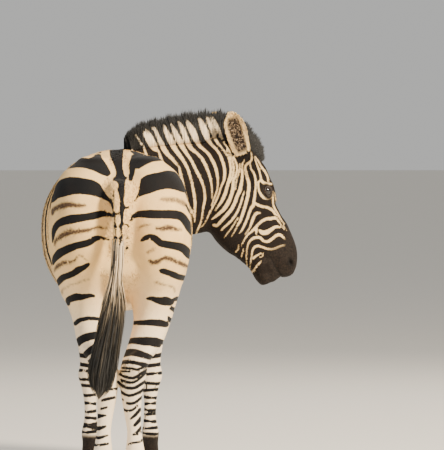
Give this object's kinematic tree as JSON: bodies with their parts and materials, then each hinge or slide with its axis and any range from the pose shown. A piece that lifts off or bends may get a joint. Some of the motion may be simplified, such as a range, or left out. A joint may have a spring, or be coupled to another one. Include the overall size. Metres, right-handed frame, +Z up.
{
  "type": "zebra",
  "caption": "Standing adult plains zebra with its neck swung to its right, head lowered in profile, erect mane and hanging tufted tail.",
  "frame": {"origin": "middle of the bounding box on the floor that the hooves stand on", "axes": "+Z up, +X to the animal's left, +Y towards its tail, so its body faces -Y"},
  "size_m": [0.9977, 1.5544, 1.416],
  "materials": {
    "striped_coat": "short dense striped hair",
    "mane_hair": "erect stiff hair, banded, with dark tips",
    "tail_hair": "long coarse dark hair",
    "hoof_horn": "dull dark horn",
    "eyeball": "wet dark eye"
  },
  "bodies": {
    "root": {"cannon_fore_left": "striped_coat", "cannon_fore_right": "striped_coat", "cannon_hind_left": "striped_coat", "cannon_hind_right": "striped_coat", "ear_left": "striped_coat", "ear_right": "striped_coat", "eye_left": "eyeball", "eye_right": "eyeball", "forearm_fore_left": "striped_coat", "forearm_fore_right": "striped_coat", "gaskin_hind_left": "striped_coat", "gaskin_hind_right": "striped_coat", "head": "striped_coat", "hoof_fore_left": "hoof_horn", "hoof_fore_right": "hoof_horn", "hoof_hind_left": "hoof_horn", "hoof_hind_right": "hoof_horn", "mane": "mane_hair", "neck": "striped_coat", "pastern_fore_left": "striped_coat", "pastern_fore_right": "striped_coat", "pastern_hind_left": "striped_coat", "pastern_hind_right": "striped_coat", "tail_dock": "striped_coat", "tail_hair": "tail_hair", "thigh_hind_left": "striped_coat", "thigh_hind_right": "striped_coat", "trunk": "striped_coat"}
  },
  "joints": []
}
